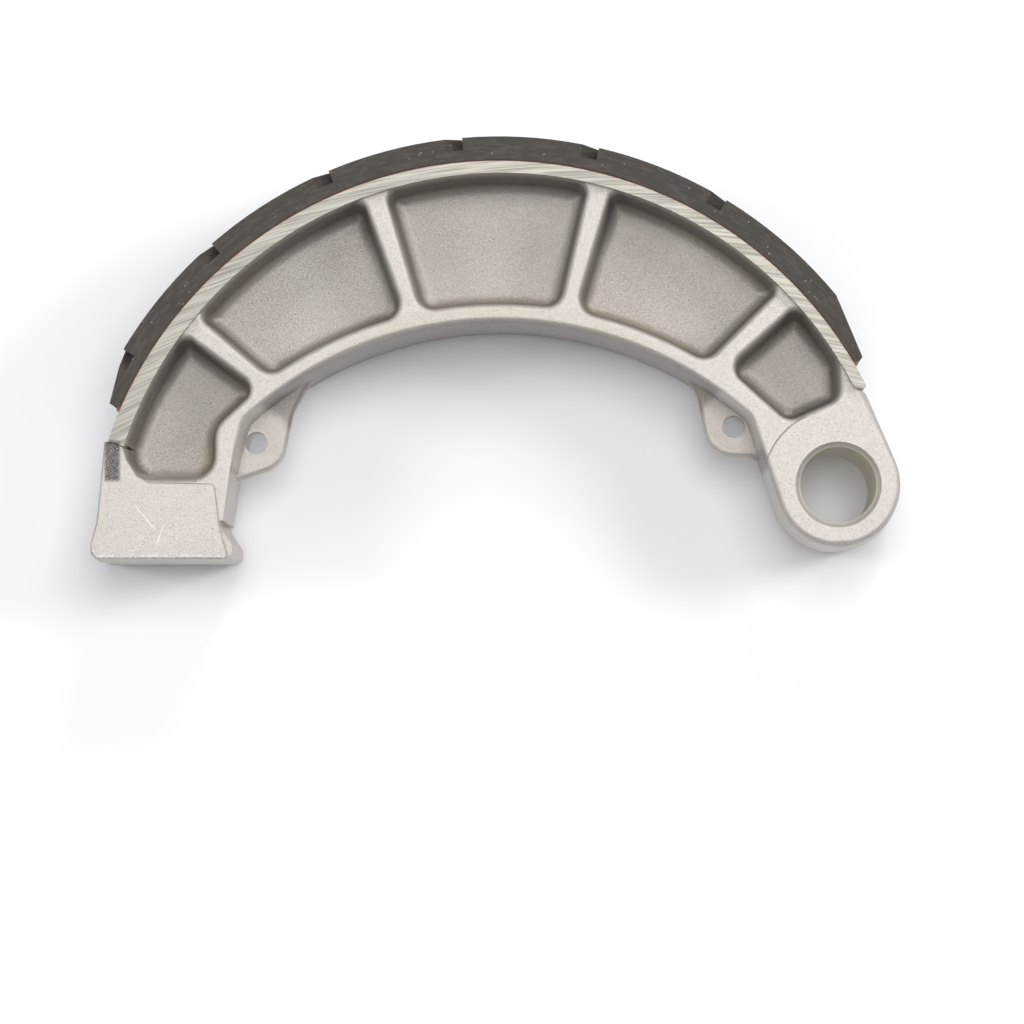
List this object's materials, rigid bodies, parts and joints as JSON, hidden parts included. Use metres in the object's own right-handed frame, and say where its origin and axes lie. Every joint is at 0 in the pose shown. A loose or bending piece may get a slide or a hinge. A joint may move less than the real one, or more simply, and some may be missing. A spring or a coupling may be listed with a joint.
{
  "type": "brake shoe",
  "caption": "Curved drum brake shoe with a ribbed cast body, a bonded friction lining with diagonal grooves, a pivot bore and a flat cam face.",
  "frame": {"origin": "middle of the pivot bore, halfway across the width of the shoe", "axes": "+Z along the pivot bore, toward the face without pin marks; +Y toward the crown of the lining; -X toward the cam end"},
  "size_m": [0.1497, 0.0777, 0.03],
  "materials": {
    "cast_aluminium": "grainy as cast, with turned edges",
    "friction_material": "dull moulded friction compound with light specks",
    "adhesive": "thin cured film"
  },
  "bodies": {
    "root": {"shoe_casting": "cast_aluminium", "friction_lining": "friction_material", "bond_layer": "adhesive"}
  },
  "joints": []
}
